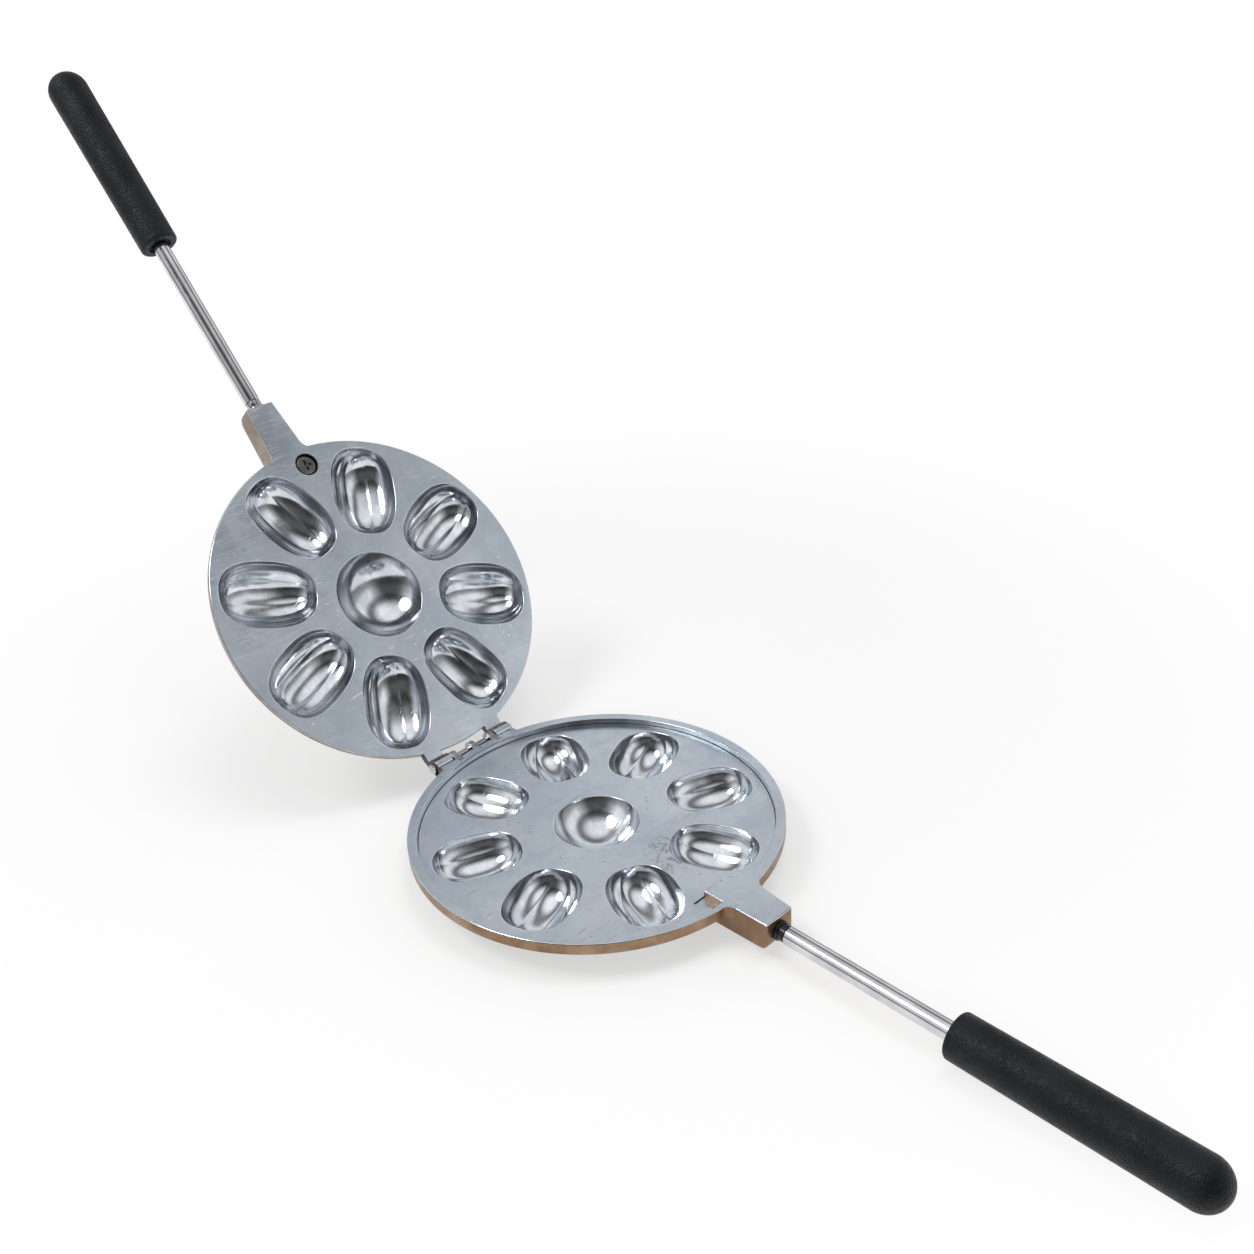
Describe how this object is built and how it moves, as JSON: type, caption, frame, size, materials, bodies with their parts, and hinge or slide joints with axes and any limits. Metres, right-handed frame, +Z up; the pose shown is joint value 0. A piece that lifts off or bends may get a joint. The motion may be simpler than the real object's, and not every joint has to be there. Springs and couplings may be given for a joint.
{
  "type": "walnut cookie mold",
  "caption": "Hinged round aluminium mold that bakes walnut-shaped cookie halves, opened flat, with a rod handle and black grip on each half.",
  "frame": {"origin": "on the table under the middle of the lower half, at the flat under its middle bowl", "axes": "+X from the hinge to the lower handle, +Y along the hinge pin, +Z up"},
  "size_m": [0.6587, 0.168, 0.3099],
  "materials": {
    "cast_aluminium": "satin machined face with polished bowls",
    "polished_rod": "polished",
    "black_collar": "dark, slightly glossy",
    "bright_screw": "bright, worn",
    "bright_pin": "bright turned steel",
    "black_grip": "fine pebbled"
  },
  "bodies": {
    "lower_half": {"lower_plate": "cast_aluminium", "lower_rod": "polished_rod", "lower_rod_collar": "black_collar", "lower_rod_screw": "bright_screw", "lower_grip": "black_grip", "hinge_pin": "bright_pin"},
    "upper_half": {"upper_plate": "cast_aluminium", "upper_rod": "polished_rod", "upper_rod_collar": "black_collar", "upper_rod_screw": "bright_screw", "upper_grip": "black_grip"}
  },
  "joints": [
    {"name": "hinge", "type": "hinge", "parent": "lower_half", "child": "upper_half", "pos_m": [-0.0882, 0, 0.0159], "axis": [0, 1, 0], "range_deg": [0, 131.2]}
  ]
}
